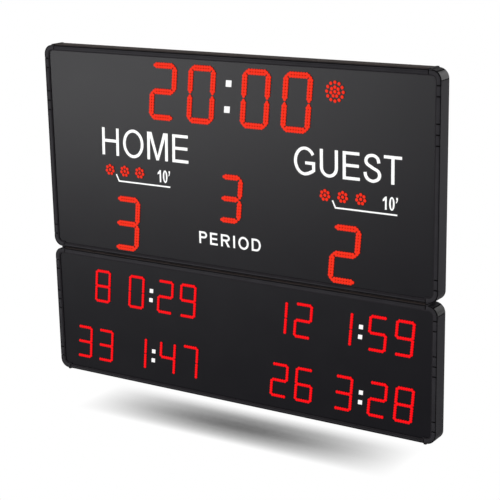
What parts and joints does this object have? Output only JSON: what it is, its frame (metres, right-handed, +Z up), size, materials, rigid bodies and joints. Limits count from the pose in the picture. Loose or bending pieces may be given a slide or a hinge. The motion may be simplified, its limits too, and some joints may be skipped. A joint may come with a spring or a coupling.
{
  "type": "electronic scoreboard",
  "caption": "Wall-hung indoor sports scoreboard: a dark main case with red LED clock, period and score digits over a wide penalty-time case.",
  "frame": {"origin": "on the wall, in the middle of the wall rail's rear face", "axes": "+X to the viewer's right, +Y into the wall (the display faces -Y), +Z up"},
  "size_m": [1.8, 0.0888, 1.4129],
  "materials": {
    "case_black": "satin black powder coat on extrusion",
    "corner_black": "satin black powder coat on casting",
    "cover_black": "matte black powder coat on sheet",
    "panel_smoke": "satin smoke polycarbonate",
    "seal_rubber": "matte",
    "zinc_steel": "zinc plated",
    "sheet_aluminium": "plain",
    "led_red": "lit lens",
    "led_white": "lit lens",
    "ink_white": "screen-printed ink",
    "board_green": "solder mask",
    "plastic_black": "fine texture",
    "plastic_red": "gloss"
  },
  "bodies": {
    "board": {"main_top_rail": "case_black", "main_bottom_rail": "case_black", "main_left_rail": "case_black", "main_right_rail": "case_black", "main_top_left_corner": "corner_black", "main_top_right_corner": "corner_black", "main_bottom_left_corner": "corner_black", "main_bottom_right_corner": "corner_black", "main_front_panel": "panel_smoke", "main_panel_seal": "seal_rubber", "main_rear_cover": "cover_black", "penalty_top_rail": "case_black", "penalty_bottom_rail": "case_black", "penalty_left_rail": "case_black", "penalty_right_rail": "case_black", "penalty_top_left_corner": "corner_black", "penalty_top_right_corner": "corner_black", "penalty_bottom_left_corner": "corner_black", "penalty_bottom_right_corner": "corner_black", "penalty_front_panel": "panel_smoke", "penalty_panel_seal": "seal_rubber", "penalty_rear_cover": "cover_black", "clock_digit_1": "led_red", "clock_digit_2": "led_red", "clock_digit_3": "led_red", "clock_digit_4": "led_red", "clock_lamp": "led_red", "period_digit": "led_red", "home_score_digit": "led_red", "guest_score_digit": "led_red", "home_lamps": "led_red", "guest_lamps": "led_red", "home_penalty_row_1": "led_red", "home_penalty_row_2": "led_red", "guest_penalty_row_1": "led_red", "guest_penalty_row_2": "led_red", "clock_colon": "led_white", "main_cross_bar_upper": "zinc_steel", "main_cross_bar_middle": "zinc_steel", "main_cross_bar_lower": "zinc_steel", "penalty_cross_bar_upper": "zinc_steel", "penalty_cross_bar_lower": "zinc_steel", "power_supply": "sheet_aluminium", "horn": "plastic_black", "link_cable": "plastic_black", "service_tray": "zinc_steel", "hatch_hinge_pin": "zinc_steel", "wall_rail": "zinc_steel", "left_upright": "zinc_steel", "right_upright": "zinc_steel", "control_board": "board_green", "mains_switch_body": "plastic_black", "mains_grommet": "seal_rubber", "left_buffer": "seal_rubber", "right_buffer": "seal_rubber"},
    "hatch": {"service_hatch": "cover_black"},
    "latch": {"hatch_latch": "zinc_steel"},
    "rocker": {"mains_switch_rocker": "plastic_red"},
    "button_1": {"setup_button_1": "plastic_red"},
    "button_2": {"setup_button_2": "plastic_red"}
  },
  "joints": [
    {"name": "hatch_hinge", "type": "hinge", "parent": "board", "child": "hatch", "pos_m": [0.1683, -0.017, -1.0143], "axis": [0, 0, 1], "range_deg": [0, 110]},
    {"name": "latch_turn", "type": "hinge", "parent": "hatch", "child": "latch", "pos_m": [0.41, -0.0189, -1.0143], "axis": [0, 1, 0], "range_deg": [0, 90]},
    {"name": "mains_switch", "type": "hinge", "parent": "board", "child": "rocker", "pos_m": [0.398, -0.0377, -1.0143], "axis": [1, 0, 0], "range_deg": [0, 18]},
    {"name": "button_1_press", "type": "slide", "parent": "board", "child": "button_1", "axis": [0, -1, 0], "range_m": [0, 0.0015], "stiffness_N_per_m": 400},
    {"name": "button_2_press", "type": "slide", "parent": "board", "child": "button_2", "axis": [0, -1, 0], "range_m": [0, 0.0015], "stiffness_N_per_m": 400}
  ]
}
